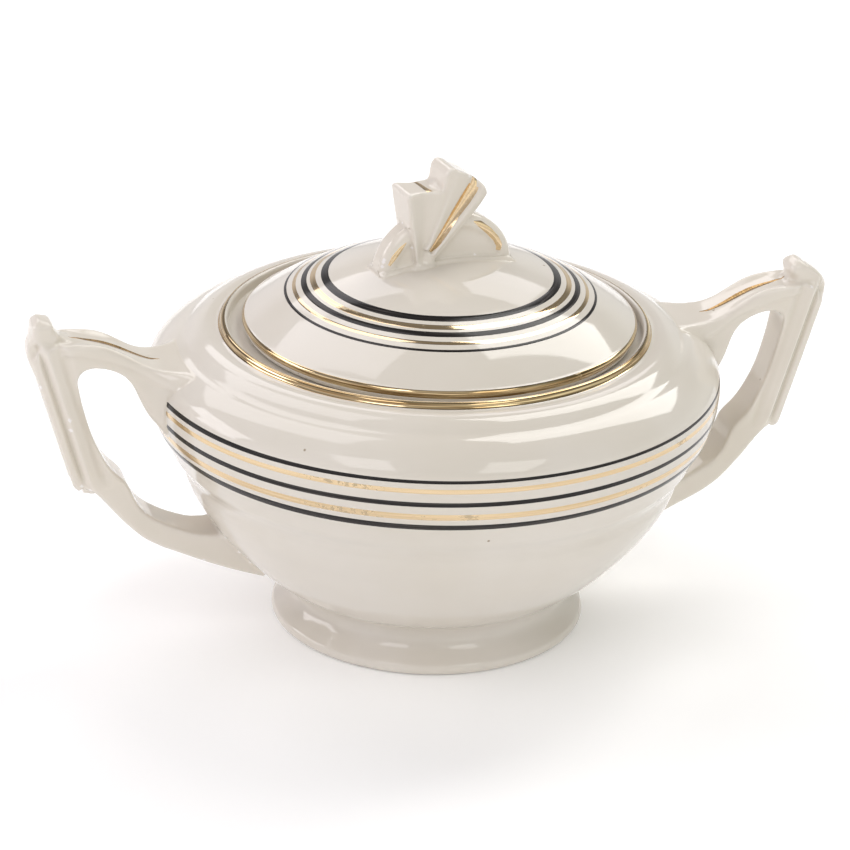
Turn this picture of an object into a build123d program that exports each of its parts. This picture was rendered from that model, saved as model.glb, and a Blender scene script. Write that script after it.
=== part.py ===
from build123d import *
import os
from math import cos, sin, sqrt, radians

# Covered sugar bowl in glazed earthenware, millimetres, +Z up.
# Origin: on the bowl's axis, in the plane it stands on. The two handles lie along X.

# Bowl: a pedestal foot, a lower tier, a belly that carries the bands, a rippled shoulder and a rim.
bowl_r = 60.2           # widest radius
bowl_h = 67.0           # top of the rim
belly_z = 55.3          # height of the widest line
shoulder_in = 15.2      # from the widest radius in to the outside of the rim
tier_in = 7.7           # from the widest radius in to the crest of the lower tier
tier_z = 35.0           # height of that crest
band_foot_in = 4.0      # from the widest radius in to the lower edge of the belly
band_foot_z = 41.7
rim_wall = 1.6
rim_rise = 0.8          # straight part of the rim above the shoulder
wall = 3.8              # at the belly and the tier, measured level
haunch_wall = 7.26      # the same, where the lower tier turns in to the floor
floor_z = 12.0          # top of the floor inside
floor_in = 14.0         # from the foot's radius in to the edge of that flat floor
root_out = 6.6          # from the waist of the foot out, and up, to where the lower tier starts
root_up = 5.7

# Foot ring
foot_r = 33.5
foot_lip = 2.0          # height of the rounded lip it stands on
neck_in = 4.1           # from the foot's radius in to the waist above it
neck_z = 7.3
foot_wall = 4.2

# Seat for the lid
ledge_drop = 2.2        # from the top of the rim down to the ledge
ledge_t = 2.6
ledge_w = 5.9           # from the inside of the rim in to the throat
throat_edge = 0.6       # rounding of the ledge's inner edge, above
throat_under = 1.2      # and below

# Lid
lid_play = 2.1          # all round, between the lid's edge and the rim
flange_play = 1.7       # all round, between the flange and the throat
seat_gap = 0.1
lid_edge_h = 3.2
bead_r = 0.8
dome_sphere_r = 70.0
lid_wall = 3.0
lid_under = 1.6         # rounding from the seat up to the bead
bead_out = 0.3          # how far the bead stands out from the edge below it
flange_t = 2.4
flange_depth = 5.2      # below the seat
flange_round = 1.0      # height of its rounded foot
lid_shift = 0.9         # how far the loose lid sits off centre
lid_shift_dir = -16.2   # and in which direction, degrees from +X
lid_turn = 8.3          # how far it is turned from the line of the handles

# Handles
drawn_h = 67.0          # height of the rim that their outlines are drawn for
handle_half = 4.8       # half the width of arms and grip
rail_half = 5.4         # half the width of the rails along the upper arm
rail_t = 2.1
step_half = 4.0         # half the width of the step on the grip
fin_half = 2.2          # half the width of the fin on the step
groove_half = 0.55
groove_depth = 0.3
hand_set = 0.55         # one handle is set this much high, the other this much low

# Finial
arch_r = 15.0           # half the arch's span
arch_h = 12.4           # its height above its own base line
arch_sink = 2.0         # how far that line is below the crown of the dome
arch_half = 3.3         # half its thickness
panel_in = 2.9          # width of the arch round its sunk panels
panel_sink = 0.45
fan_half = 4.3          # half the thickness of both fans
fan_root = -3.0         # where they start, from the crown

rim_r = bowl_r - shoulder_in
seat_r = rim_r - rim_wall
throat_r = seat_r - ledge_w
tier_r = bowl_r - tier_in
neck_r = foot_r - neck_in
ledge_z = bowl_h - ledge_drop
lid_r = seat_r - lid_play
flange_r = throat_r - flange_play
lid_z = ledge_z + seat_gap
dome_edge_z = lid_z + lid_edge_h
dome_centre_z = dome_edge_z - sqrt(dome_sphere_r**2 - (lid_r - bead_r) ** 2)
crown_z = dome_centre_z + dome_sphere_r

os.makedirs("parts", exist_ok=True)


def shoulder_point(out, up):
    """A point between the rim, 0, and the widest line, 1, as shares across and down."""
    collar_z = bowl_h - rim_rise
    return (rim_r + (bowl_r - rim_r) * out, collar_z + (belly_z - collar_z) * up)


root = (neck_r + root_out, neck_z + root_up)
crest = (tier_r, tier_z)
haunch = (root[0] + (tier_r - root[0]) * 0.44, root[1] + (tier_z - root[1]) * 0.32)


def outer_wall():
    """The bowl's outside from the waist of the foot to the top of the rim, open at both ends."""
    band_foot = (bowl_r - band_foot_in, band_foot_z)
    Spline((neck_r, neck_z), root, tangents=((0, 1), (1, 0.78)))
    Spline(
        root,
        haunch,
        (root[0] + (tier_r - root[0]) * 0.81, root[1] + (tier_z - root[1]) * 0.68),
        crest,
        tangents=((1, 0.78), (0.16, 1)),
    )
    cove = (tier_r + 1.5, tier_z + 3.5)
    Spline(crest, cove, band_foot, tangents=((0.16, 1), (0.42, 1)))
    Spline(
        band_foot,
        (bowl_r - 1.45, band_foot_z + (belly_z - band_foot_z) * 0.335),
        (bowl_r - 0.22, band_foot_z + (belly_z - band_foot_z) * 0.757),
        (bowl_r, belly_z),
        tangents=((0.42, 1), (0, 1)),
    )
    collar = (rim_r, bowl_h - rim_rise)
    Spline(
        (bowl_r, belly_z),
        shoulder_point(0.947, 0.752),
        shoulder_point(0.829, 0.569),
        shoulder_point(0.612, 0.376),
        shoulder_point(0.493, 0.284),
        shoulder_point(0.388, 0.184),
        shoulder_point(0.276, 0.124),
        shoulder_point(0.164, 0.041),
        shoulder_point(0.072, 0.041),
        collar,
        tangents=((0, 1), (-0.15, 1)),
    )
    lip = (rim_r - rim_wall / 2, bowl_h)
    RadiusArc(collar, lip, -rim_wall / 2)


# Bowl blank: the outside form as one solid, which the handles are trimmed against
with BuildPart() as bowl_blank:
    with BuildSketch(Plane.XZ):
        with BuildLine():
            outer_wall()
            Polyline((rim_r - rim_wall / 2, bowl_h), (0, bowl_h), (0, neck_z), (neck_r, neck_z))
        make_face()
    revolve(axis=Axis.Z)

# Bowl: the blank hollowed out, with a ledge inside the rim for the lid
with BuildPart() as bowl:
    add(bowl_blank.part)
    with BuildSketch(Plane.XZ):
        with BuildLine():
            floor_edge = (foot_r - floor_in, floor_z)
            belly = (bowl_r - wall, belly_z - 5.0)
            ledge_under = ledge_z - ledge_t
            under_edge = (throat_r + throat_under, ledge_under)
            throat = ((throat_r, ledge_under + throat_under), (throat_r, ledge_z - throat_edge))
            ledge_edge = (throat_r + throat_edge, ledge_z)
            lip = (seat_r + rim_wall / 2, bowl_h)
            Line((0, floor_z), floor_edge)
            Spline(
                floor_edge,
                (haunch[0] - haunch_wall, floor_z + 8.0),
                (tier_r - wall, tier_z - 1.0),
                belly,
                tangents=((1, 0), (0.12, 1)),
            )
            Spline(belly, (belly[0] - 3.4, belly_z + 1.6), under_edge, tangents=((0.12, 1), (-1, 0.06)))
            RadiusArc(under_edge, throat[0], throat_under)
            Line(*throat)
            RadiusArc(throat[1], ledge_edge, throat_edge)
            Polyline(ledge_edge, (seat_r, ledge_z), (seat_r, bowl_h - rim_wall / 2))
            RadiusArc((seat_r, bowl_h - rim_wall / 2), lip, rim_wall / 2)
            above = bowl_h + rim_wall
            Polyline(lip, (seat_r + rim_wall, above), (0, above), (0, floor_z))
        make_face()
    revolve(axis=Axis.Z, mode=Mode.SUBTRACT)
bowl.part.label = "bowl"
export_step(bowl.part, "parts/bowl.step")

# Foot ring: the flared pedestal under the bowl, luted on at its waist
with BuildPart() as foot_ring:
    with BuildSketch(Plane.XZ):
        with BuildLine():
            inner_r = neck_r - foot_wall
            Spline((neck_r, neck_z), (foot_r - 0.3, foot_lip + 0.6), tangents=((0, -1), (1, -0.62)))
            Spline((foot_r - 0.3, foot_lip + 0.6), (foot_r, foot_lip * 0.6), tangents=((1, -0.62), (0, -1)))
            Spline((foot_r, foot_lip * 0.6), (foot_r - 1.6, 0), tangents=((0, -1), (-1, 0)))
            Line((foot_r - 1.6, 0), (foot_r - 3.2, 0))
            inside = ((foot_r - 3.2, 0), (inner_r + 1.0, foot_lip + 1.2), (inner_r, neck_z))
            Spline(*inside, tangents=((-1, 0.3), (0, 1)))
            Line((inner_r, neck_z), (neck_r, neck_z))
        make_face()
    revolve(axis=Axis.Z)
foot_ring.part.label = "foot_ring"
export_step(foot_ring.part, "parts/foot_ring.step")


# Handles. Outlines are drawn in the plane of the handles: reach is measured out from the bowl's
# widest radius and height as a share of the rim's height, so that both follow the bowl.
def spot(side, set_by, reach, height):
    return (side * (bowl_r + reach), height * bowl_h / drawn_h + set_by)


def slab(half_width, draw_outline, mode=Mode.ADD):
    """A flat layer of the part being built, to the same depth either side of the plane of the handles."""
    with BuildSketch(Plane.XZ) as outline:
        with BuildLine():
            draw_outline()
        make_face()
    extrude(outline.sketch, amount=half_width, both=True, mode=mode)


def make_handle(side, set_by, crest, brow):
    def at(reach, height):
        return spot(side, set_by, reach, height)

    def along(*points):
        return [at(*p) for p in points]

    def aim(out, up):
        return (side * out, up * bowl_h / drawn_h)

    arm_top = (
        (-10.0, 63.5), (-4.4, 63.1), (-0.2, 63.4), (4.8, 65.4), (9.8, 67.7), (14.8, 69.1), (19.4, 69.5),
    )
    crest_slope = aim(crest[4][0] - crest[3][0], crest[4][1] - crest[3][1])
    brow_slope = aim(*brow)
    grip_top, grip_foot = (22.6, 67.6), (14.0, 38.0)
    down_grip = aim(grip_foot[0] - grip_top[0], grip_foot[1] - grip_top[1])

    def arms_and_grip():
        Spline(*along(*arm_top), tangents=(aim(1, -0.1), aim(1, 0)))
        Spline(*along(arm_top[-1], (21.6, 69.2), grip_top), tangents=(aim(1, 0), down_grip))
        Line(at(*grip_top), at(*grip_foot))
        Spline(
            *along(
                grip_foot, (11.9, 35.0), (9.4, 31.9), (6.4, 28.4), (3.0, 25.1), (-0.3, 22.9),
                (-3.8, 21.2), (-9.3, 18.6), (-17.2, 15.45), (-23.0, 13.6),
            ),
            tangents=(down_grip, aim(-1, -0.3)),
        )
        Polyline(at(-23.0, 13.6), at(-19.0, 24.6), at(-12.0, 24.6))
        Spline(
            *along(
                (-12.0, 24.6), (-8.8, 24.9), (-5.6, 25.95), (-0.3, 28.6), (3.0, 31.3), (5.0, 34.8),
                (6.5, 38.0), (8.6, 40.1), (10.6, 42.8), (12.0, 45.6), (13.75, 50.2), (15.3, 56.0),
                (16.1, 60.0),
            ),
            tangents=(aim(1, 0), aim(0.2, 1)),
        )
        Spline(*along((16.1, 60.0), (15.7, 62.8), (13.2, 63.95)), tangents=(aim(0.2, 1), aim(-1, 0.05)))
        Spline(
            *along(
                (13.2, 63.95), (9.8, 63.4), (6.8, 61.8), (4.8, 59.4), (3.7, 56.8), (2.1, 53.4),
                (-0.6, 49.6),
            ),
            tangents=(aim(-1, 0.05), aim(-0.6, -1)),
        )
        Polyline(at(-0.6, 49.6), at(-8.0, 50.0), at(*arm_top[0]))

    def rails():
        under = [(reach, height - rail_t) for reach, height in arm_top]
        Spline(*along(*arm_top), tangents=(aim(1, -0.1), aim(1, 0)))
        Line(at(*arm_top[-1]), at(*under[-1]))
        Spline(*along(*under), tangents=(aim(1, -0.1), aim(1, 0)))
        Line(at(*under[0]), at(*arm_top[0]))

    def step():
        Line(at(19.0, 69.3), at(22.0, 69.3))
        Spline(*along((22.0, 69.3), (23.8, 68.8), (24.2, 67.3)), tangents=(aim(1, 0), aim(-0.25, -1)))
        Spline(
            *along((24.2, 67.3), (22.7, 62.0), (15.7, 39.5), (14.6, 36.9), (12.8, 36.0)),
            tangents=(aim(-0.25, -1), aim(-1, -0.3)),
        )
        Polyline(at(12.8, 36.0), at(12.4, 37.4), at(19.0, 64.0), at(19.0, 69.3))

    def fin():
        Spline(*along((14.6, 68.6), (17.2, 69.6), *crest[:2]), tangents=(aim(1, 0.1), aim(0.4, 1)))
        Spline(*along(*crest[1:4]), tangents=(aim(0.4, 1), crest_slope))
        Line(at(*crest[3]), at(*crest[4]))
        Spline(
            *along(
                crest[4], (26.1, 68.7), (26.15, 67.3), (24.5, 62.0), (21.9, 54.0), (19.1, 45.8),
                (16.9, 39.5), (15.9, 36.8), (14.5, 35.3), (12.7, 34.7),
            ),
            tangents=(brow_slope, aim(-1, -0.2)),
        )
        Polyline(at(12.7, 34.7), at(12.0, 36.6), at(18.0, 62.0), at(14.6, 66.4), at(14.6, 68.6))

    def groove():
        sunk = [(reach, height - groove_depth) for reach, height in arm_top[2:6]]
        Spline(*along(*sunk))
        Polyline(at(*sunk[-1]), at(sunk[-1][0], 72.0), at(sunk[0][0], 72.0), at(*sunk[0]))

    with BuildPart() as handle:
        slab(handle_half, arms_and_grip)
        slab(rail_half, rails)
        slab(step_half, step)
        slab(fin_half, fin)
        slab(groove_half, groove, mode=Mode.SUBTRACT)
        add(bowl_blank.part, mode=Mode.SUBTRACT)
    return handle.part


# The same mould, but each crest was trimmed and glazed by hand: one is square, the other slopes.
square_crest = ((20.4, 71.6), (21.5, 73.3), (22.6, 74.2), (24.2, 74.1), (24.7, 71.2))
sloped_crest = ((17.7, 71.2), (18.3, 72.9), (19.5, 74.2), (20.9, 73.6), (25.4, 69.8))

handle_left = make_handle(-1, -hand_set, square_crest, brow=(1, -1.2))
handle_left.label = "handle_left"
export_step(handle_left, "parts/handle_left.step")
handle_right = make_handle(1, hand_set, sloped_crest, brow=(4.5, -3.8))
handle_right.label = "handle_right"
export_step(handle_right, "parts/handle_right.step")


# Lid: a shallow dome with a rolled edge that rests on the ledge, and a flange that keeps it there
lid_place = Location(
    (lid_shift * cos(radians(lid_shift_dir)), lid_shift * sin(radians(lid_shift_dir)), 0), (0, 0, lid_turn)
)


def dome_arc(radius, from_r, to_r):
    """The arc of a dome that has the lid's centre, between two distances from the axis."""
    ends = [(r, dome_centre_z + sqrt(radius**2 - r**2)) for r in (from_r, to_r)]
    RadiusArc(*ends, -radius if from_r > to_r else radius)
    return ends


with BuildPart() as dome_blank:
    with BuildSketch(Plane.XZ):
        with BuildLine():
            (rim_end, crown) = dome_arc(dome_sphere_r, lid_r - bead_r, 0)
            Polyline(crown, (0, lid_z), (lid_r - bead_r, lid_z), rim_end)
        make_face()
    revolve(axis=Axis.Z)

with BuildPart() as lid_form:
    with BuildSketch(Plane.XZ):
        with BuildLine():
            inner_sphere_r = dome_sphere_r - lid_wall
            flange_in_r = flange_r - flange_t
            bead_z = dome_edge_z - 2 * bead_r
            (edge_top, crown) = dome_arc(dome_sphere_r, lid_r - bead_r, 0)
            (under_crown, flange_root) = dome_arc(inner_sphere_r, 0, flange_in_r)
            Line(crown, under_crown)
            flange_foot = lid_z - flange_depth
            foot_in = (flange_in_r, flange_foot + flange_round)
            foot_out = (flange_r, flange_foot + flange_round)
            Line(flange_root, foot_in)
            Spline(foot_in, (flange_r - flange_t / 2, flange_foot), foot_out, tangents=((0, -1), (0, 1)))
            seat_edge = (lid_r - lid_under, lid_z)
            Polyline(foot_out, (flange_r, lid_z), seat_edge)
            bead_foot = (lid_r - bead_out, bead_z)
            Spline(seat_edge, bead_foot, tangents=((1, 0), (0, 1)))
            Spline(bead_foot, (lid_r, bead_z + bead_r), edge_top, tangents=((0.6, 1), (-1, 0.3)))
        make_face()
    revolve(axis=Axis.Z)
lid = lid_place * lid_form.part
lid.label = "lid"
export_step(lid, "parts/lid.step")


# Finial: a half-round arch across the dome with two fans that cross it, stuck on before firing
def half_ellipse(span, height):
    base_z = crown_z - arch_sink
    EllipticalCenterArc((0, base_z), span, height, start_angle=0, arc_size=180)
    Line((span, base_z), (-span, base_z))


def fan(*outline):
    """A closed outline from its root, with heights measured from the crown of the dome."""
    Polyline(*[(x, crown_z + up) for x, up in outline], close=True)


with BuildPart() as finial_form:
    slab(arch_half, lambda: half_ellipse(arch_r, arch_h))
    for face in (1, -1):
        with BuildSketch(Plane.XZ.offset(face * arch_half)):
            with BuildLine():
                half_ellipse(arch_r - panel_in, arch_h - panel_in)
            make_face()
        extrude(amount=-face * panel_sink, mode=Mode.SUBTRACT)
    slab(fan_half, lambda: fan(
        (-6.9, fan_root), (-10.0, 15.3), (-9.5, 15.9), (-1.6, 15.7), (-4.3, fan_root),
    ))
    slab(fan_half, lambda: fan(
        (-4.5, -0.4), (-1.3, 19.4), (-0.4, 20.4), (0.4, 20.4), (5.0, 18.0), (7.3, 16.1), (8.2, 14.2),
        (6.6, 11.8),
    ))
    add(dome_blank.part, mode=Mode.SUBTRACT)
lid_finial = lid_place * finial_form.part
lid_finial.label = "lid_finial"
export_step(lid_finial, "parts/lid_finial.step")
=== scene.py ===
from math import atan, cos, degrees, pi, radians, sin, sqrt, tau

import bmesh
import bpy
import numpy as np
from mathutils import Matrix, Vector
from mathutils.bvhtree import BVHTree


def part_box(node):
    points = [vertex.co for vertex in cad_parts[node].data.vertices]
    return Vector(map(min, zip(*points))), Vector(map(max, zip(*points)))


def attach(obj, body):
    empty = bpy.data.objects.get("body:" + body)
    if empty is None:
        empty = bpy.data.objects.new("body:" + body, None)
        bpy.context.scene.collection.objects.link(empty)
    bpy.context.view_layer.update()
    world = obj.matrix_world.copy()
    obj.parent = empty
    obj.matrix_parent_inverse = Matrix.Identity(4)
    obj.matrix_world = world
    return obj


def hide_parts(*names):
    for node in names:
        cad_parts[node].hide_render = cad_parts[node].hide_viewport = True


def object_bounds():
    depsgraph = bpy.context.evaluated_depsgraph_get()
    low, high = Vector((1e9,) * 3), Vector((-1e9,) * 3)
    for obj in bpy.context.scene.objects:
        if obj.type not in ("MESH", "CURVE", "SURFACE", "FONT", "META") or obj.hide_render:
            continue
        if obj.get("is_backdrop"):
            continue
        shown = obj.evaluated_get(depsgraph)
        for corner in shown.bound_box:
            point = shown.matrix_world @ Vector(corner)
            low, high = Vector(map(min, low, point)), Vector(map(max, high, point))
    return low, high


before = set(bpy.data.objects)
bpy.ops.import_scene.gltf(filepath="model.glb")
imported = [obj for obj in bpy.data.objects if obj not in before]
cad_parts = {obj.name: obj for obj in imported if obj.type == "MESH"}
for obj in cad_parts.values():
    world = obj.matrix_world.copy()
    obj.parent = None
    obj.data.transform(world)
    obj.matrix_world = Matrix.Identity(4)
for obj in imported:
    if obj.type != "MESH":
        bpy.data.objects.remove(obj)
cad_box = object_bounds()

# The pieces come in the order they are put together: bowl, foot, handles, lid and finial, each followed
# by its own enamel and gold. Sizes are in millimetres until a mesh is made, and a mesh is in metres.
mm = 0.001

# ---------------------------------------------------------------- bowl
# The bowl is cast in white earthenware and dipped in ivory glaze. Its outside steps out over a lower
# tier to the band round the belly, and ripples back in over the shoulder to a thin upright rim.


def flowing(points, gap=0.25):
    """Points close together on a smooth line through given (r, z), or (r, z, dr, dz) to set its slope."""
    at = np.array([p[:2] for p in points], float)
    chord = np.linalg.norm(np.diff(at, axis=0), axis=1)
    run = np.r_[0, np.cumsum(chord)]
    slope = np.gradient(at, run, axis=0) if len(at) > 2 else np.repeat(np.diff(at, axis=0) / chord, 2, axis=0)
    for i, p in enumerate(points):
        if len(p) == 4:
            slope[i] = np.array(p[2:]) / np.hypot(*p[2:])
    line = []
    for i, length in enumerate(chord):
        t = np.linspace(0, 1, max(2, round(length / gap)), endpoint=False)[:, None]
        ease = t * t * (3 - 2 * t)
        leave, arrive = t * (1 - t) ** 2 * length, t * t * (t - 1) * length
        line.append(at[i] * (1 - ease) + at[i + 1] * ease + slope[i] * leave + slope[i + 1] * arrive)
    return np.vstack([*line, at[-1:]])


def arc(centre, radius, start, stop, steps=8):
    """A round stretch of an outline, from one angle to another in degrees."""
    turn = np.radians(np.linspace(start, stop, steps + 1))
    return np.stack([centre[0] + radius * np.cos(turn), centre[1] + radius * np.sin(turn)], 1)


def joined(*runs):
    """Runs of an outline end to end, with no point twice in a row."""
    line = np.vstack([np.atleast_2d(np.array(run, float)) for run in runs])
    apart = np.r_[True, np.linalg.norm(np.diff(line, axis=0), axis=1) > 1e-3]
    return line[apart]


def solid(name, points, faces, sharp=50):
    """A piece from points in millimetres, smooth except at edges sharper than an angle."""
    mesh = bpy.data.meshes.new(name)
    mesh.from_pydata(np.asarray(points) * mm, [], faces)
    made = bmesh.new()
    made.from_mesh(mesh)
    bmesh.ops.remove_doubles(made, verts=made.verts, dist=1e-7)
    bmesh.ops.recalc_face_normals(made, faces=made.faces)
    made.to_mesh(mesh)
    made.free()
    mesh.polygons.foreach_set("use_smooth", np.ones(len(mesh.polygons), bool))
    mesh.set_sharp_from_angle(angle=radians(sharp))
    piece = bpy.data.objects.new(name, mesh)
    bpy.context.scene.collection.objects.link(piece)
    return piece


def hand(turn, size, seed):
    """The slow unevenness of hand work round a wheel, the same at the end of a turn as at its start."""
    waves = sin(turn * 2 + seed) + 0.6 * sin(turn * 3 + 2.1 * seed) + 0.35 * sin(turn * 7 + 3.7 * seed)
    return size * waves / 1.6


def grid_faces(rows, columns, wrap_rows=False, wrap_columns=True):
    """Four-sided faces over points laid out in rows of so many columns."""
    return [
        (i * columns + j, i * columns + (j + 1) % columns,
         (i + 1) % rows * columns + (j + 1) % columns, (i + 1) % rows * columns + j)
        for i in range(rows if wrap_rows else rows - 1)
        for j in range(columns if wrap_columns else columns - 1)
    ]


def turned(name, outline, slices=288):
    """A piece turned on the wheel from an outline that starts and ends on its axis, or closes on itself."""
    turns = np.arange(slices) * tau / slices
    r, z = outline[:, 0], outline[:, 1]
    level = np.repeat(z[:, None], slices, 1)
    points = np.stack([np.outer(r, np.cos(turns)), np.outer(r, np.sin(turns)), level], 2)
    closed = outline[0, 0] > 0.01
    return solid(name, points.reshape(-1, 3), grid_faces(len(outline), slices, wrap_rows=closed))


belly_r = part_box("bowl")[1].x / mm
rim_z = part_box("bowl")[1].z / mm
waist_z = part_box("bowl")[0].z / mm
waist_r = belly_r - 30.8
rim_r = belly_r - 15.2
rim_wall = 1.6
collar_z = rim_z - rim_wall / 2
bowl_outside = joined(
    flowing([
        (waist_r, waist_z, 0, 1), (belly_r - 24.2, waist_z + 5.7, 1, 0.78), (belly_r - 16.9, 20.0),
        (belly_r - 10.8, 28.0), (belly_r - 8.1, 33.3), (belly_r - 7.55, 35.3, 0.1, 1), (belly_r - 7.1, 37.0),
        (belly_r - 6.2, 38.5), (belly_r - 4.2, 41.4, 0.42, 1), (belly_r - 3.3, 43.3),
        (belly_r - 1.45, 46.9), (belly_r - 0.22, 52.0), (belly_r, 55.3, 0, 1),
    ]),
    flowing([
        (belly_r, 55.3, 0, 1), (belly_r - 0.3, 57.2), (belly_r - 0.85, 58.4), (belly_r - 1.7, 59.5),
        (belly_r - 3.2, 60.85), (belly_r - 4.7, 61.85), (belly_r - 6.2, 62.65), (belly_r - 7.3, 63.1),
        (belly_r - 8.0, 63.45), (belly_r - 8.9, 64.1), (belly_r - 10.2, 64.9), (belly_r - 11.2, 65.35),
        (belly_r - 12.2, 65.62), (belly_r - 13.4, 65.68), (belly_r - 14.5, 65.72), (rim_r, collar_z, -0.1, 1),
    ]),
)
ledge_z = rim_z - 2.2
throat_r = belly_r - 22.7
seat_r = rim_r - rim_wall
haunch = (belly_r - 3.8, 50.3, -0.12, -1)
floor_z = 12.0
bowl_inside = joined(
    arc((rim_r - rim_wall / 2, collar_z), rim_wall / 2, 0, 180),
    [(seat_r, ledge_z + 0.3)],
    arc((seat_r - 0.3, ledge_z + 0.3), 0.3, 0, -90, 4),
    arc((throat_r + 0.6, ledge_z - 0.6), 0.6, 90, 180, 5),
    arc((throat_r + 1.2, ledge_z - 1.4), 1.2, 180, 270, 5),
    flowing([(throat_r + 1.2, ledge_z - 2.6, 1, -0.06), (belly_r - 7.2, 56.9), haunch]),
    flowing([haunch, (belly_r - 11.5, 34.0), (belly_r - 24.2, 20.0), (19.5, floor_z, -1, 0)]),
    [(10.0, floor_z), (0, floor_z)],
)
bowl = turned(
    "bowl_glazed",
    joined([(0, waist_z), (12.0, waist_z), (waist_r - 0.8, waist_z)], bowl_outside, bowl_inside),
)
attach(bowl, "bowl")
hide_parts("bowl")


class Wire:
    """A socket of a glaze or metal as it is mixed: sums and products of wires add Math nodes."""

    def __init__(self, tree, socket=None):
        self.tree = tree
        self.socket = socket

    def node(self, kind, settings=None, sockets=None, out=0):
        """One node of a type, its settings first and then its sockets' values or links."""
        made = self.tree.nodes.new("ShaderNode" + kind)
        for name, value in (settings or {}).items():
            setattr(made, name, value)
        for name, value in (sockets or {}).items():
            if isinstance(value, Wire):
                self.tree.links.new(value.socket, made.inputs[name])
            else:
                made.inputs[name].default_value = value
        return Wire(self.tree, made.outputs[out])

    def math(self, operation, *values):
        """One Math node on wires and numbers."""
        return self.node("Math", {"operation": operation}, dict(enumerate(values)))

    def __add__(self, other):
        return self.math("ADD", self, other)

    def __sub__(self, other):
        return self.math("SUBTRACT", self, other)

    def __rsub__(self, other):
        return self.math("SUBTRACT", other, self)

    def __mul__(self, other):
        return self.math("MULTIPLY", self, other)

    __radd__ = __add__
    __rmul__ = __mul__

    def over(self, edge, soft):
        """0 where this is under an edge and 1 where it is over, with a soft change between."""
        return self.node("MapRange", {"interpolation_type": "SMOOTHSTEP"},
                         {"Value": self, "From Min": edge - soft, "From Max": edge + soft})

    def mix(self, first, second):
        """One colour where this is 0 and another where it is 1."""
        return self.node("Mix", {"data_type": "RGBA"}, {0: self, 6: first, 7: second}, out=2)


def srgb(red, green, blue):
    """A colour as it is seen, 0 to 255, as the light that a shader works in."""
    return (*[((value / 255 + 0.055) / 1.055) ** 2.4 for value in (red, green, blue)], 1)


def material(name):
    """An empty material, with a wire to build on and its surface shader."""
    made = bpy.data.materials.new(name)
    made.use_nodes = True
    shader = made.node_tree.nodes["Principled BSDF"]
    return made, Wire(made.node_tree), shader


def feed(tree, shader, **sockets):
    """Sets or links the shader's sockets, with spaces in their names written as underscores."""
    for name, value in sockets.items():
        target = shader.inputs[name.replace("_", " ")]
        if isinstance(value, Wire):
            tree.links.new(value.socket, target)
        else:
            target.default_value = value


def noise(wire, place, scale, detail=2.0, roughness=0.5, distortion=0.0):
    """Cloudy noise, so many waves to the metre."""
    return wire.node("TexNoise", {}, {
        "Vector": place, "Scale": scale, "Detail": detail, "Roughness": roughness, "Distortion": distortion})


def ivory_glaze(name, creased=False):
    """Ivory glaze with specks, on creased pieces yellower in the hollows and whiter on the edges."""
    made, wire, shader = material(name)
    place = wire.node("TexCoord", out=3)
    cloud = noise(wire, place, 38.0, 3.0)
    base = noise(wire, place, 12.0, 1.0).mix(srgb(217, 211, 199), srgb(217, 211, 204))
    if creased:
        bend = wire.node("NewGeometry", out=7)
        base = bend.over(0.46, 0.06).mix(srgb(208, 200, 184), srgb(221, 214, 203))
        base = bend.over(0.57, 0.07).mix(base, srgb(236, 232, 230))
    tone = cloud.over(0.5, 0.25).mix(srgb(250, 249, 246), (1.0, 1.0, 1.0, 1.0))
    tint = {"data_type": "RGBA", "blend_type": "MULTIPLY"}
    base = wire.node("Mix", tint, {0: 1.0, 6: base, 7: tone}, out=2)
    cells = {"Vector": place, "Scale": 260.0, "Randomness": 1.0}
    cell = wire.node("TexVoronoi", {"feature": "F1"}, cells)
    lot = wire.node("SeparateColor", {}, {0: wire.node("TexVoronoi", {"feature": "F1"}, cells, out=1)})
    speck = (1 - cell.over(0.075, 0.03)) * lot.over(0.975, 0.002)
    base = speck.mix(base, srgb(158, 144, 124))
    skin = noise(wire, place, 190.0, 2.0)
    slow = noise(wire, place, 34.0, 1.0)
    height = slow * 0.9 + skin * 0.07 - speck * 0.25
    bump = wire.node("Bump", {}, {"Strength": 1.0, "Distance": 0.00006, "Height": height})
    feed(made.node_tree, shader, Base_Color=base, Roughness=0.05 + cloud * 0.03, Normal=bump, IOR=1.52)
    return made


glaze = ivory_glaze("ivory_glaze")
bowl.data.materials.append(glaze)

# ---------------------------------------------------------------- foot ring
# The flared pedestal is turned apart from the same white earthenware and luted to the bowl at the waist.
# It is hollow underneath, glazed all over, and stands on a narrow flat ring.
foot_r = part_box("foot_ring")[1].x / mm
foot_edge_z = 1.2
stand_out, stand_in = foot_r - 1.6, foot_r - 3.2
foot_ring = turned("foot_ring_glazed", joined(
    [(waist_r + 0.01, waist_z + 0.15)],
    flowing([
        (waist_r + 0.01, waist_z, 0, -1), (waist_r + 0.3, waist_z - 1.2, 0.45, -1),
        (foot_r - 0.45, 2.5, 1, -0.85),
    ]),
    flowing([(foot_r - 0.45, 2.5, 1, -0.95), (foot_r, foot_edge_z, 0, -1)]),
    flowing([(foot_r, foot_edge_z, 0, -1), (stand_out, 0, -1, 0)]),
    flowing([(stand_out, 0), (stand_in, 0)]),
    flowing([(stand_in, 0, -1, 0.3), (waist_r - 3.2, 3.2), (waist_r - 4.2, waist_z, 0, 1)]),
))
foot_ring.data.materials.append(glaze)
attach(foot_ring, "bowl")
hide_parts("foot_ring")

# ---------------------------------------------------------------- lines and gold on the bowl
# With the bowl turning on a banding wheel, black enamel and liquid bright gold are laid on the fired
# glaze with a brush, in five lines round the belly and one over the rim, and fired again.


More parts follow.
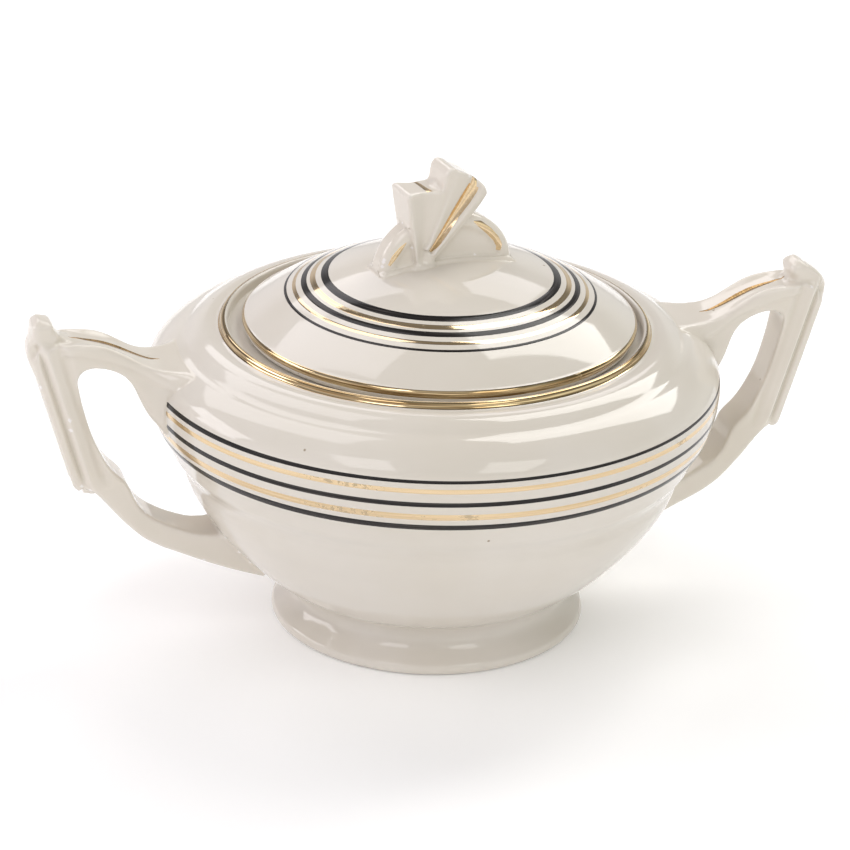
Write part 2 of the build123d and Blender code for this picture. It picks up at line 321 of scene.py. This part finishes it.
class Wall:
    """The outside of a turned piece, which lines are painted on and other pieces are luted to."""

    def __init__(self, outline, centre=(0.0, 0.0)):
        self.line = outline
        self.centre = np.array(centre)
        along = np.gradient(outline, axis=0)
        along /= np.linalg.norm(along, axis=1)[:, None]
        self.out = np.stack([along[:, 1], -along[:, 0]], 1)
        self.run = np.r_[0, np.cumsum(np.linalg.norm(np.diff(outline, axis=0), axis=1))]

    def run_at(self, r, z):
        """How far along the outline the point nearest to (r, z) is."""
        return self.run[((self.line - (r, z)) ** 2).sum(1).argmin()]

    def lifted(self, run, height):
        """(r, z) of points at a distance along the outline and a height off it."""
        pick = [np.interp(run, self.run, values) for values in (*self.line.T, *self.out.T)]
        return pick[0] + pick[2] * height, pick[1] + pick[3] * height

    def nearest(self, points):
        """For points in space: how far each stands out of the wall, and which way is out there."""
        flat = points[:, :2] - self.centre
        r = np.linalg.norm(flat, axis=1)
        section = np.stack([r, points[:, 2]], 1)
        near = np.empty(len(points), int)
        for first in range(0, len(points), 4000):
            part = section[first:first + 4000]
            near[first:first + 4000] = ((part[:, None] - self.line[None]) ** 2).sum(2).argmin(1)
        depth = ((section - self.line[near]) * self.out[near]).sum(1)
        spoke = flat / np.maximum(r, 1e-9)[:, None]
        return depth, np.c_[spoke * self.out[near, :1], self.out[near, 1]]

    def backing(self, middle, spread, thick, low, high, slices=48):
        """A closed piece of the wall itself, for a joint to run into: points and faces."""
        kept = self.line[(self.line[:, 1] > low) & (self.line[:, 1] < high)]
        inner = kept[::-1] - np.array([thick, 0])
        loop = np.vstack([kept, inner])
        turns = np.linspace(middle - spread, middle + spread, slices)
        points = [(*(self.centre + r * np.array([cos(t), sin(t)])), z) for t in turns for r, z in loop]
        faces = grid_faces(slices, len(loop))
        last = (slices - 1) * len(loop)
        return points, faces + [tuple(range(len(loop))), tuple(range(last, last + len(loop)))]


def banded(name, wall, lines, film, slices=360):
    """Lines brushed round a wall, each (r, z, width, how much wider at the left), as rounded films."""
    points, faces = [], []
    proud, sunk = 0.004, -0.03
    across = np.linspace(-1, 1, 9)
    under = across[-2:0:-2]
    share = np.r_[across, under]
    lift = np.r_[film * np.sqrt(1 - across ** 2) + proud, np.full(len(under), sunk)]
    for number, (r, z, width, swell) in enumerate(lines):
        middle, first = wall.run_at(r, z), len(points)
        for t in np.arange(slices) * tau / slices:
            half = width / 2 * (1 + swell * max(0, -cos(t)) ** 2 + hand(t, 0.07, 5.0 + number))
            out, up = wall.lifted(middle + hand(t, 0.05, 8.0 + 3 * number) + share * half, lift)
            points += [(*(wall.centre + o * np.array([cos(t), sin(t)])), u) for o, u in zip(out, up)]
        faces += [tuple(first + i for i in face) for face in grid_faces(slices, len(share), wrap_rows=True)]
    return solid(name, points, faces, 80)


def round_place(wire, along, over):
    """Where a point is, stretched so that marks run along a brushed line, and its angle round the axis."""
    place = wire.node("TexCoord", out=3)
    axes = [wire.node("SeparateXYZ", {}, {0: place}, out=i) for i in range(3)]
    turn = wire.math("ARCTAN2", axes[1], axes[0])
    r = wire.math("SQRT", axes[0] * axes[0] + axes[1] * axes[1])
    return wire.node("CombineXYZ", {}, {0: turn * along, 1: r * over, 2: axes[2] * over}), turn


def bright_gold(name, worn=0.0, matt=0.10, chips=None, thick=(214, 189, 150), thin=(231, 207, 170)):
    """Liquid bright gold: a mirror with brush streaks, worn to the glaze in patches and near chips. A brown
    thick colour paints dark reflection into the streaks.
    """
    made, wire, shader = material(name)
    streaks, turn = round_place(wire, 2.2, 2600.0)
    place = wire.node("TexCoord", out=3)
    streak = noise(wire, streaks, 1.0, 3.0, 0.6)
    patch = noise(wire, place, 75.0, 4.0, 0.65, 0.4)
    grit = noise(wire, place, 900.0, 3.0, 0.7)
    bare = (patch * 0.75 + streak * 0.25 + grit * 0.12).over(0.74 - worn, 0.03)
    if chips is not None:
        middle, spread = chips
        here = 1 - wire.math("ABSOLUTE", turn - middle).over(spread, spread / 2)
        bare = wire.math("MAXIMUM", bare, (grit * 0.7 + streak * 0.3).over(0.54, 0.015) * here)
    # The streaks mix the thick and the thin colour: gold laid thicker and thinner by the brush, and, where the
    # thick colour is brown, painted dark reflection of the dim ceiling.
    gold = streak.over(0.5, 0.2).mix(srgb(*thick), srgb(*thin))
    base = bare.mix(gold, srgb(190, 170, 136))
    rough = matt + streak * 0.08 + bare * 0.12
    bump = wire.node("Bump", {}, {"Strength": 1.0, "Distance": 0.00001, "Height": streak * 0.8 + grit * 0.15})
    feed(made.node_tree, shader, Base_Color=base, Metallic=1 - bare, Roughness=rough, Normal=bump)
    return made


def black_enamel(name):
    """Black enamel: glossy, and thinner where the brush was nearly dry, so that it is greyer there."""
    made, wire, shader = material(name)
    streak = noise(wire, round_place(wire, 1.6, 2200.0)[0], 1.0, 3.0, 0.6)
    thin = streak.over(0.60, 0.14)
    base = thin.mix(srgb(30, 27, 26), srgb(66, 61, 58))
    bump = wire.node("Bump", {}, {"Strength": 1.0, "Distance": 0.00001, "Height": streak})
    feed(made.node_tree, shader, Base_Color=base, Roughness=0.12 + thin * 0.15, Normal=bump,
         Specular_IOR_Level=0.25)
    return made


bowl_wall = Wall(bowl_outside)
shoulder = bowl_outside[bowl_outside[:, 1] > 60.0]
rim_top = Wall(joined(shoulder, arc((rim_r - rim_wall / 2, collar_z), rim_wall / 2, 0, 120)))
enamel = black_enamel("black_enamel")
belly_gold = bright_gold("belly_gold", worn=0.04, chips=(-2.15, 0.11))
# The brown is painted dark reflection of the dim ceiling, streaked with pale gold, on the rim, the lid's edge
# and the arms.
painted_dark_reflection_brown, pale = (142, 112, 68), (238, 215, 172)
rim_gold = bright_gold("rim_gold", worn=0.03, matt=0.03, chips=(0.25, 0.32), thick=painted_dark_reflection_brown, thin=pale)
for name, wall, lines, film, finish, slot in (
    ("belly_black_lines", bowl_wall,
     [(belly_r, 56.83, 0.62, 0.75), (belly_r - 0.2, 51.7, 0.98, 0.25), (belly_r - 1.7, 46.05, 1.48, 0.1)],
     0.02, enamel, "black_enamel"),
    ("belly_gold_lines", bowl_wall,
     [(belly_r, 54.75, 0.98, 0.1), (belly_r - 0.75, 48.8, 1.35, 0.1)], 0.012, belly_gold, "gilding"),
    ("rim_gilding", rim_top, [(rim_r, 66.75, 1.9, 0.1)], 0.015, rim_gold, "gilding"),
):
    line = banded(name, wall, lines, film)
    line.data.materials.append(finish)
    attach(line, "bowl")

# ---------------------------------------------------------------- handles
# Each handle is slip-cast in white earthenware, in a two-part mould, and luted to the wall while it is
# soft, so its edges are round and its roots run into the bowl. Beads run along both edges of the arm.


def pushed(points, wall, blend=0.35):
    """Points near a wall, eased down to meet it smoothly instead of in a crease."""
    depth, out = wall.nearest(points)
    share = np.clip(depth / blend, 0, 1)
    return points + out * (depth * (share * share * (3 - 2 * share) - 1) * (depth < blend))[:, None], depth


def luted(name, node, extras, wall, voxel, rounds, modelled):
    """One soft casting from a node's own shape and extra solids, modelled and trimmed at the wall."""
    clay = bmesh.new()
    clay.from_mesh(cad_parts[node].data)
    for points, faces in extras:
        verts = [clay.verts.new(Vector(p) * mm) for p in points]
        for face in faces:
            clay.faces.new([verts[i] for i in face])
    mesh = bpy.data.meshes.new(name + "_clay")
    clay.to_mesh(mesh)
    clay.free()
    rough = bpy.data.objects.new(name + "_clay", mesh)
    bpy.context.scene.collection.objects.link(rough)
    cast = rough.modifiers.new("cast", "REMESH")
    cast.mode, cast.voxel_size = "VOXEL", voxel * mm
    sponge = rough.modifiers.new("sponge", "SMOOTH")
    sponge.factor, sponge.iterations = 0.5, rounds
    final = bpy.data.meshes.new_from_object(rough.evaluated_get(bpy.context.evaluated_depsgraph_get()))
    bpy.data.objects.remove(rough)
    points = np.array([v.co for v in final.vertices]) / mm
    points = modelled(points, wall.nearest(points)[0])
    points, depth = pushed(points, wall)
    final.vertices.foreach_set("co", (points * mm).astype(np.float32).ravel())
    made = bmesh.new()
    made.from_mesh(final)
    made.verts.ensure_lookup_table()
    hidden = [made.verts[i] for i in np.flatnonzero(depth < 0.02)]
    bmesh.ops.delete(made, geom=hidden, context="VERTS")
    # Trimming leaves crumbs beside the wall, so only the largest island of faces is kept.
    unseen, main = set(made.faces), set()
    while unseen:
        island, fringe = set(), [unseen.pop()]
        while fringe:
            face = fringe.pop()
            island.add(face)
            near = {other for rim in face.edges for other in rim.link_faces} & unseen
            unseen -= near
            fringe += near
        main = max(main, island, key=len)
    crumbs = [face for face in made.faces if face not in main]
    bmesh.ops.delete(made, geom=crumbs, context="FACES")
    made.to_mesh(final)
    made.free()
    final.name = name
    final.materials.clear()
    final.polygons.foreach_set("use_smooth", np.ones(len(final.polygons), bool))
    piece = bpy.data.objects.new(name, final)
    bpy.context.scene.collection.objects.link(piece)
    return piece


def bead(path, radii, sides=12):
    """A round bead along a path, closed at both ends: points and faces."""
    path, radii = np.array(path, float), np.array(radii, float)
    along = np.gradient(path, axis=0)
    along /= np.linalg.norm(along, axis=1)[:, None]
    across = np.cross(along, (0, 0, 1.0))
    across /= np.linalg.norm(across, axis=1)[:, None]
    up = np.cross(across, along)
    turns = np.arange(sides) * tau / sides
    rings = zip(path, radii, across, up)
    points = [place + r * (cos(t) * a + sin(t) * u) for place, r, a, u in rings for t in turns]
    faces = grid_faces(len(path), sides)
    last = (len(path) - 1) * sides
    return points, faces + [tuple(range(sides)), tuple(range(last, last + sides))]


def hollow(points, middle, deep, wide):
    """How deep a round-bottomed groove is at points given by how far they are from its middle."""
    return deep * np.exp(-((points - middle) / wide) ** 2)


def brushed(name, piece, strokes, film=0.02):
    """Gold strokes on a piece, each (points, widths, way the brush comes from), as films on its surface."""
    mesh = piece.data
    skin = BVHTree.FromPolygons([v.co / mm for v in mesh.vertices], [face.vertices for face in mesh.polygons])
    reach_up, step, proud, sunk = 8, 0.35, 0.012, 0.05
    across = np.linspace(-1, 1, 9)
    points, faces = [], []
    for path, widths, come in strokes:
        come = Vector(come).normalized()
        line = np.array(path, float)
        run = np.r_[0, np.cumsum(np.linalg.norm(np.diff(line, axis=0), axis=1))]
        even = np.linspace(0, run[-1], max(8, round(run[-1] / step)))
        line = np.stack([np.interp(even, run, line[:, i]) for i in range(3)], 1)
        half = np.interp(even, run, widths) / 2
        along = np.gradient(line, axis=0)
        rows = []
        for place, way, reach in zip(line, along, half):
            side = Vector(way).cross(come).normalized()
            row = []
            for share in across:
                start = Vector(place) + side * share * reach
                hit, normal, _, _ = skin.ray_cast(start + come * reach_up, -come)
                if hit is None:
                    break
                thick = film * sqrt(1 - share * share) + proud
                row.append((hit + normal * thick, hit - normal * sunk))
            if len(row) == len(across):
                rows.append([top for top, under in row] + [under for top, under in row[-2:0:-1]])
        first, loop = len(points), 2 * len(across) - 2
        points += [p for row in rows for p in row]
        faces += [tuple(first + i for i in face) for face in grid_faces(len(rows), loop)]
        last = first + (len(rows) - 1) * loop
        faces += [tuple(range(first, first + loop)), tuple(range(last, last + loop))]
    return solid(name, points, faces, 80)


# Places on a handle are given by their reach, out from the bowl's widest radius, and their height. Beads
# along the arm's edges follow the rail, gold lies along the crown between them, and bars fill out the crest.
rail_line = flowing([
    (-5.6, 60.3), (-4.5, 60.7), (-1.5, 61.7), (0.4, 62.5), (2.2, 63.4), (5.2, 65.2), (7.8, 66.8), (10.6, 68.2),
    (13.5, 68.9), (16.5, 69.1), (18.6, 69.1),
], 0.8)
crown_line = [(-1.6, 63.0), (0.3, 63.6), (3.4, 64.8), (6.8, 66.5), (10.5, 68.5), (14.0, 69.5), (17.3, 69.8)]
grip_top, grip_foot = np.array([22.6, 67.6]), np.array([14.0, 38.0])
grip_way = (grip_top - grip_foot) / np.linalg.norm(grip_top - grip_foot)
grip_low, grip_high = 37, 70.5
grooves = ((1.1, 0.75, 0.45), (-0.1, -0.4, 0.8), (-3.2, 0.6, 1.0))
arm_half, lower_root_half, flare_reach, between_roots = 4.8, 5.9, 8.5, 45
bar_across, bar_taper = (-3.5, -2.8, 0.0, 2.8, 3.5), (0.5, 0.9, 1.0, 0.9, 0.5)
hand_set = 0.55  # the left handle is set this much low on the bowl, and the right one this much high
handle_glaze = ivory_glaze("ivory_glaze_on_edges", creased=True)
# The arm's line is brown and dull tan: painted dark reflection of the dim ceiling above its upturned crown.
arm_gold = bright_gold("arm_gold", worn=0.02, matt=0.2, thick=painted_dark_reflection_brown, thin=(200, 166, 112))
square_crest = ((22.0, 72.6, 1.5), (22.9, 72.6, 1.5), (23.8, 72.6, 1.5), (21.3, 70.5, 1.9), (23.4, 70.8, 2.1))
sloped_crest = (
    (18.9, 72.2, 1.5), (19.8, 72.3, 1.5), (20.9, 71.9, 1.6), (22.0, 71.2, 1.6),
    (23.0, 70.5, 1.6), (24.0, 69.6, 1.5), (20.4, 70.2, 2.0), (22.6, 69.0, 2.0),
)
for side, hand_name, lift, root_half, crest_line in (
    (-1, "handle_left", -hand_set, 9.0, square_crest), (1, "handle_right", hand_set, 7.0, sloped_crest),
):

    def model_handle(points, depth):
        """Roots flared where they run into the bowl, and grooves cut beside the grip's fin and step."""
        reach, level = side * points[:, 0] - belly_r, points[:, 2] - lift
        near = np.clip(1 - depth / flare_reach, 0, 1) ** 2
        most = np.where(level > between_roots, root_half, lower_root_half) / arm_half - 1
        r = np.linalg.norm(points[:, :2], axis=1)
        turn = np.arcsin(np.clip(points[:, 1] / r, -1, 1)) * (1 + most * near)
        made = np.c_[side * r * np.cos(turn), r * np.sin(turn), points[:, 2]]
        out = (reach - grip_foot[0]) * grip_way[1] - (level - grip_foot[1]) * grip_way[0]
        on_grip = np.clip((level - grip_low) / 3, 0, 1) * np.clip((grip_high - level) / 2, 0, 1)
        cut = sum(hollow(out, *groove) for groove in grooves)
        outer = np.clip((np.abs(points[:, 1]) - 0.8) / 2.2, 0, 1) ** 2
        made[:, 1] -= np.sign(points[:, 1]) * cut * on_grip * outer
        return made

    def on_handle(reach, across, level):
        """A place on this handle."""
        return side * (belly_r + reach), across, level + lift

    extras = []
    rail_radii = np.interp(
        rail_line[:, 0], [-5.6, -4.0, 0.0, 6.0, 17.6, 18.6], [0.25, 0.8, 1.15, 1.2, 1.2, 0.6])
    for across in (-4.35, 4.35):
        extras.append(bead([on_handle(x, across, z - 0.75) for x, z in rail_line], rail_radii))
    fin = [grip_foot + grip_way * run + np.array([2.15, -0.6]) for run in (-1.2, 0.0, 15.0, 29.0, 30.6)]
    for across in (-2.7, 2.7):
        extras.append(bead([on_handle(x, across, z) for x, z in fin], (0.5, 1.15, 1.2, 1.2, 0.6)))
    toe = ((12.6, 36.2), (13.4, 37.0), (14.3, 38.6), (15.2, 41.2))
    for across in (-2.2, 0.0, 2.2):
        extras.append(bead([on_handle(x, across, z) for x, z in toe], (0.6, 1.3, 1.5, 0.6)))
    for x, z, radius in crest_line:
        bar = [on_handle(x, across, z) for across in bar_across]
        extras.append(bead(bar, [radius * share for share in bar_taper]))
    extras.append(bowl_wall.backing(0 if side > 0 else pi, radians(24), 3.0, 9.0, 65.6))
    handle = luted(hand_name + "_glazed", hand_name, extras, bowl_wall, 0.33, 20, model_handle)
    handle.data.materials.append(handle_glaze)
    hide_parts(hand_name)
    stroke = [on_handle(x, 0.0, z) for x, z in crown_line]
    widths = (0.15, 0.8, 1.4, 1.9, 1.7, 1.0, 0.2)
    line = brushed(hand_name + "_gold_line", handle, [(stroke, widths, (0, 0, 1))])
    line.data.materials.append(arm_gold)
    for piece, slot in ((handle, "ivory_glaze"), (line, "gilding")):
        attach(piece, "bowl")

# ---------------------------------------------------------------- lid
# The lid is a shallow dome of white earthenware, turned with a rolled edge and a flange that drops inside
# the mouth, and dipped in the bowl's glaze. It lies loose on the ledge, a little off centre.
lid_low, lid_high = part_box("lid")
lid_centre = ((lid_low.x + lid_high.x) / 2 / mm, (lid_low.y + lid_high.y) / 2 / mm)
lid_r = (lid_high.x - lid_low.x) / 2 / mm
crown_z = lid_high.z / mm
flange_foot = lid_low.z / mm
lid_z = flange_foot + 5.2
sphere_r = 70.0
dome_z = crown_z - sphere_r
edge_angle = degrees(atan((lid_z + 3.2 - dome_z) / (lid_r - 0.8)))
dome = arc((0, dome_z), sphere_r, edge_angle, 90, 150)
lid_wall_thick = 3.0
inner_r = sphere_r - lid_wall_thick
roll_r, roll_z = lid_r - 0.3, lid_z + 1.6
widest_z = lid_z + 2.4
flange_r = lid_r - 5.5
flange_in = flange_r - 2.4
flange_round_z = flange_foot + 1.0
flange_angle = degrees(np.arccos(flange_in / inner_r))
lid = turned("lid_glazed", joined(
    dome[::-1],
    flowing([(*dome[0], 1, -0.3), (lid_r, widest_z, 0, -1), (roll_r, roll_z, -0.6, -1)], 0.1),
    flowing([(roll_r, roll_z, 0, -1), (lid_r - 1.6, lid_z, -1, 0)], 0.15),
    [(flange_r + 0.4, lid_z), (flange_r, lid_z - 0.4), (flange_r, flange_round_z)],
    flowing([
        (flange_r, flange_round_z, 0, -1), (flange_r - 1.2, flange_foot), (flange_in, flange_round_z, 0, 1),
    ]),
    arc((0, dome_z), inner_r, flange_angle, 90, 60),
))
lid.data.transform(Matrix.Translation((lid_centre[0] * mm, lid_centre[1] * mm, 0)))
lid.data.materials.append(glaze)
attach(lid, "lid")
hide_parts("lid")

# ---------------------------------------------------------------- lines and gold on the lid
# The enamel and gold of the bowl, brushed on in the same way: three black lines and two gold ones round
# the dome, and gold over the rolled edge. They are fired on, and lift off with the lid.
lid_edge = joined(
    flowing([(lid_r - 1.6, lid_z, 1, 0), (roll_r, roll_z, 0, 1)], 0.1),
    flowing([(roll_r, roll_z, 0.6, 1), (lid_r, widest_z, 0, 1), (*dome[0], -1, 0.3)], 0.1),
    dome,
)
lid_wall = Wall(lid_edge, lid_centre)
lid_black = [(32.5, 73.3, 0.62, 0), (28.5, 74.9, 1.3, 0), (24.3, 76.7, 1.65, 0)]
lid_gold = bright_gold("lid_gold", worn=0.02, matt=0.03)
# The rolled edge's gold is streaked with brown, painted dark reflection of the dim ceiling.
edge_gold = bright_gold("lid_edge_gold", worn=0.05, matt=0.03, thick=painted_dark_reflection_brown, thin=pale)
for name, lines, film, finish, slot in (
    ("lid_black_lines", lid_black, 0.02, enamel, "black_enamel"),
    ("lid_gold_lines", [(30.7, 74.0, 0.85, 0), (26.6, 75.7, 1.25, 0)], 0.012, lid_gold, "gilding"),
    ("lid_edge_gilding", [(lid_r, lid_z + 2.3, 1.9, 0)], 0.015, edge_gold, "gilding"),
):
    line = banded(name, lid_wall, lines, film)
    line.data.materials.append(finish)
    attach(line, "lid")

# ---------------------------------------------------------------- finial
# The finial is a half-round arch with two fans across it, of white earthenware pressed in a mould and
# stuck to the dome with slip, in line with the lid's own turn. Glaze has run into its corners and rounded
# them, and bright gold is brushed down its grooves.
dome_wall = Wall(dome, lid_centre)
lid_turn = radians(8.3)
arch_way = np.array([cos(lid_turn), sin(lid_turn)])
deep_way = np.array([-sin(lid_turn), cos(lid_turn)])


def on_finial(along, deep, up):
    """A place on the finial: along the arch, away from its front, and above the crown of the dome."""
    return (*(np.array(lid_centre) + along * arch_way + deep * deep_way), crown_z + up)


arch_half, arch_high, arch_sunk = 15.0, 12.4, 2
arch_flat, arch_round, arch_side = 1.1, 2.2, 3.6
fan_foot, fan_way, fan_long = (-4.35, 2.56), (0.571, 0.821), 15.8
leaning_scoops = ((-0.05, 0.95, 0.42), (0.62, -0.3, 0.3), (-1.3, -0.35, 0.4))
upright_scoops = ((0.1, 0.7, 0.5), (-0.85, -0.3, 0.3))


def model_finial(points, depth):
    """Both fans scooped out between raised edges, as the mould leaves them, and the arch rounded over."""
    flat = points[:, :2] - lid_centre
    along, deep, up = flat @ arch_way, flat @ deep_way, points[:, 2] - crown_z
    # The arch is thinner the nearer a place is to its outer edge; the fans, which stand outside it, are not.
    inside = (1 - np.hypot(along / arch_half, (up + arch_sunk) / arch_high)) * 13.5
    roll = np.clip(inside, 0, arch_round)
    limit = arch_flat + np.sqrt(arch_round ** 2 - (arch_round - roll) ** 2)
    limit = limit + 9 * np.clip(-inside, 0, 1) + 9 * (np.abs(deep) > arch_side)
    deep = np.sign(deep) * np.minimum(np.abs(deep), limit)
    face = np.clip((np.abs(deep) - 2.6) / 1.2, 0, 1)
    # A share says how far across a fan a place is, -1 at one edge and 1 at the other.
    from_foot = along - fan_foot[0], up - fan_foot[1]
    run = from_foot[0] * fan_way[0] + from_foot[1] * fan_way[1]
    over = from_foot[0] * fan_way[1] - from_foot[1] * fan_way[0]
    grown = np.clip(run / fan_long, 0.1, 1)
    share = over / (0.9 + 2.6 * grown)
    leaning = np.clip((share + 1.75) / 0.3, 0, 1) * np.clip((1.05 - share) / 0.1, 0, 1) * (run > 0)
    cut = leaning * sum(hollow(share, *scoop) for scoop in leaning_scoops)
    middle, half = -6.15 - 0.0125 * (up - 0.5), 1.5 + 0.15 * up
    share = (along - middle) / half
    upright = np.clip((1.1 - np.abs(share)) / 0.1, 0, 1) * np.clip(up / 2, 0, 1) * (leaning < 0.5)
    cut += upright * sum(hollow(share, *scoop) for scoop in upright_scoops)
    deep = deep - np.sign(deep) * cut * face * np.clip(depth / 1.5, 0, 1)
    return np.c_[lid_centre + along[:, None] * arch_way + deep[:, None] * deep_way, points[:, 2]]


def dome_up(along, deep):
    """How far above the crown the dome is."""
    return sqrt(sphere_r ** 2 - along ** 2 - deep ** 2) - sphere_r


backing = dome_wall.backing(0, pi, lid_wall_thick, crown_z - 3.6, crown_z + 1, 96)
slip = []
for face in (-1, 1):
    foot = [(x, face * 3.35) for x in np.linspace(-15.2, 15.2, 40)]
    slip.append(bead([on_finial(x, y, dome_up(x, y) - 0.1) for x, y in foot], [0.3, *[0.85] * 38, 0.3]))
    foot = [(x, face * (4.5 - 0.25 * abs(x + 5.9))) for x in np.linspace(-8.4, -3.4, 12)]
    slip.append(bead([on_finial(x, y, dome_up(x, y)) for x, y in foot], [0.3, *[0.8] * 10, 0.3]))
seam = (
    (-3.0, -4.0, 9.5), (-2.2, -3.6, 12.4), (-1.8, -2.6, 15.0), (-1.8, 0, 15.6),
    (-1.8, 2.6, 15.0), (-2.2, 3.6, 12.4), (-3.0, 4.0, 9.5),
)
slip.append(bead([on_finial(*place) for place in seam], [0.3, 0.7, 1.0, 1.1, 1.0, 0.7, 0.3]))
finial = luted("finial_glazed", "lid_finial", [backing, *slip], dome_wall, 0.24, 34, model_finial)
finial.data.materials.append(handle_glaze)
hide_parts("lid_finial")
# Each stroke on a face is its places (along, deep, up), its widths and how much from above the brush comes.
face_strokes = (
    (((-4.3, 4, 2.7), (-2.8, 4, 4.6), (-1.3, 4, 6.9), (1.0, 4, 10.5),
      (3.0, 4, 13.2), (4.6, 4, 15.5), (5.0, 4, 16.2)), (0.5, 1.1, 1.6, 2.1, 2.5, 2.6, 2.4), 0.0),
    (((4.9, 4.4, 16.2), (5.1, 3.8, 16.9), (5.3, 2.8, 17.2)), (1.5, 1.4, 1.2), 1.2),
    (((5.6, 3, 8.0), (7.0, 3, 7.3), (9.0, 3, 5.6), (10.8, 3, 3.6), (11.6, 3, 2.0), (11.4, 3, 0.9)),
     (0.3, 1.3, 1.5, 1.4, 1.3, 0.9), 0.0),
    (((-9.6, 3, 5.2), (-10.7, 3, 4.0), (-12.1, 3, 2.3), (-13.2, 3, 0.6)), (0.2, 0.9, 1.1, 0.5), 0.0),
)
strokes = [
    ([on_finial(x, face * y, up) for x, y, up in places], widths, (*(deep_way * face), above))
    for face in (-1, 1) for places, widths, above in face_strokes
]
over_top = ((-5.3, 3.8, 16.5), (-5.0, 2.0, 16.5), (-4.8, -1.0, 16.5), (-4.6, -3.3, 16.5))
strokes.append(([on_finial(*place) for place in over_top], (0.8, 0.9, 1.1, 1.4), (0, 0, 1)))
finial_gold = bright_gold("finial_gold", worn=0.03, matt=0.05)
line = brushed("finial_gold_strokes", finial, strokes)
line.data.materials.append(finial_gold)
for piece, slot in ((finial, "ivory_glaze"), (line, "gilding")):
    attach(piece, "lid")

# ---------------------------------------------------------------- studio
# A plain pale floor, three softboxes high behind the bowl, one low at its left and two in front of it,
# a dim ceiling that the gold mirrors, and a camera a little above the bowl.
floor_mesh = bpy.data.meshes.new("floor")
floor_mesh.from_pydata([(-6, -6, 0), (6, -6, 0), (6, 6, 0), (-6, 6, 0)], [], [(0, 1, 2, 3)])
floor = bpy.data.objects.new("floor", floor_mesh)
bpy.context.scene.collection.objects.link(floor)
paper, wire, shader = material("paper")
grain = noise(wire, wire.node("TexCoord", out=3), 300.0)
paper_white = grain.mix(srgb(248, 248, 248), srgb(251, 251, 251))
feed(paper.node_tree, shader, Base_Color=paper_white, Roughness=0.9, Specular_IOR_Level=0.1,
     Emission_Color=(1, 1, 1, 1), Emission_Strength=0.10)
floor_mesh.materials.append(paper)
floor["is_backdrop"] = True

view_turn = radians(-16.2)
to_view = Matrix.Rotation(view_turn, 3, "Z")
world = bpy.data.worlds.new("studio")
bpy.context.scene.world = world
world.use_nodes = True
backdrop = Wire(world.node_tree)
axes = [backdrop.node("SeparateXYZ", {}, {0: backdrop.node("TexCoord", out=0)}, out=i) for i in range(3)]
ahead, beside = (-0.28, -0.96), (0.96, -0.28)
front = (axes[0] * ahead[0] + axes[1] * ahead[1]).over(0.25, 0.3)
above = axes[2].over(0.30, 0.10)
light = 0.71 + front * 0.46 - above * (0.465 + front * 0.10)
at_right = (axes[0] * beside[0] + axes[1] * beside[1]).over(0.0, 0.9)
tint = at_right.mix((1.0, 0.965, 1.03, 1), (0.985, 1.0, 0.95, 1))
feed(world.node_tree, world.node_tree.nodes["Background"], Strength=light, Color=tint)

# Each softbox is its way from the bowl, the way its long side runs, how far off it is, its sides and its glow.
violet, warm = (1.0, 0.97, 1.0), (1.0, 0.99, 0.96)
for name, way, long_way, far, size, glow in (
    ("softbox_right", (0.52, 0.62, 1.0), (0.75, 0.66, 0.0), 1.28, (0.98, 0.42), 4.7),
    ("softbox_left", (-0.53, 0.42, 1.0), (-0.6, 0.55, 0.0), 1.25, (0.90, 0.42), 2.0),
    ("softbox_rear", (-0.10, 1.0, 0.80), (1.0, 0.0, 0.0), 1.3, (1.1, 0.45), 1.9),
    ("softbox_side", (-0.92, 0.12, 0.42), (0.0, 1.0, 0.0), 1.3, (0.7, 0.5), 3.6),
    ("softbox_front_left", (-0.40, -0.68, 0.85), (1.0, 0.0, 0.0), 1.3, (0.40, 0.7), 2.3),
    ("softbox_front_right", (0.50, -0.66, 0.85), (1.0, 0.0, 0.0), 1.3, (0.40, 0.7), 2.3),
):
    out = (to_view @ Vector(way)).normalized()
    along = to_view @ Vector(long_way)
    along = (along - out * along.dot(out)).normalized()
    lamp = bpy.data.lights.new(name, "AREA")
    lamp.shape = "RECTANGLE"
    lamp.size, lamp.size_y = size
    lamp.energy = glow * pi * size[0] * size[1]
    lamp.color = violet if way[0] < 0 else warm
    box = bpy.data.objects.new(name, lamp)
    bpy.context.scene.collection.objects.link(box)
    box.matrix_world = Matrix((along, out.cross(along), out)).transposed().to_4x4()
    box.location = out * far + Vector((0, 0, 0.05))

camera = bpy.data.objects.new("camera", bpy.data.cameras.new("camera"))
bpy.context.scene.collection.objects.link(camera)
bpy.context.scene.camera = camera
camera.data.lens = 149.7
camera.data.sensor_width = 36.0
bearing, pitch, roll = view_turn + radians(0.1235), radians(23.709), radians(1.756)
camera.location = to_view @ Vector((0, -0.6856, 0.3436))
level_look = Matrix.Rotation(bearing, 3, "Z") @ Matrix.Rotation(pi / 2 - pitch, 3, "X")
camera.rotation_euler = (level_look @ Matrix.Rotation(roll, 3, "Z")).to_euler()
camera.data.clip_start, camera.data.clip_end = 0.01, 50.0
bpy.context.scene.view_settings.view_transform = "Standard"

size = {"cad": [list(corner) for corner in cad_box], "visual": [list(corner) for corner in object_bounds()]}
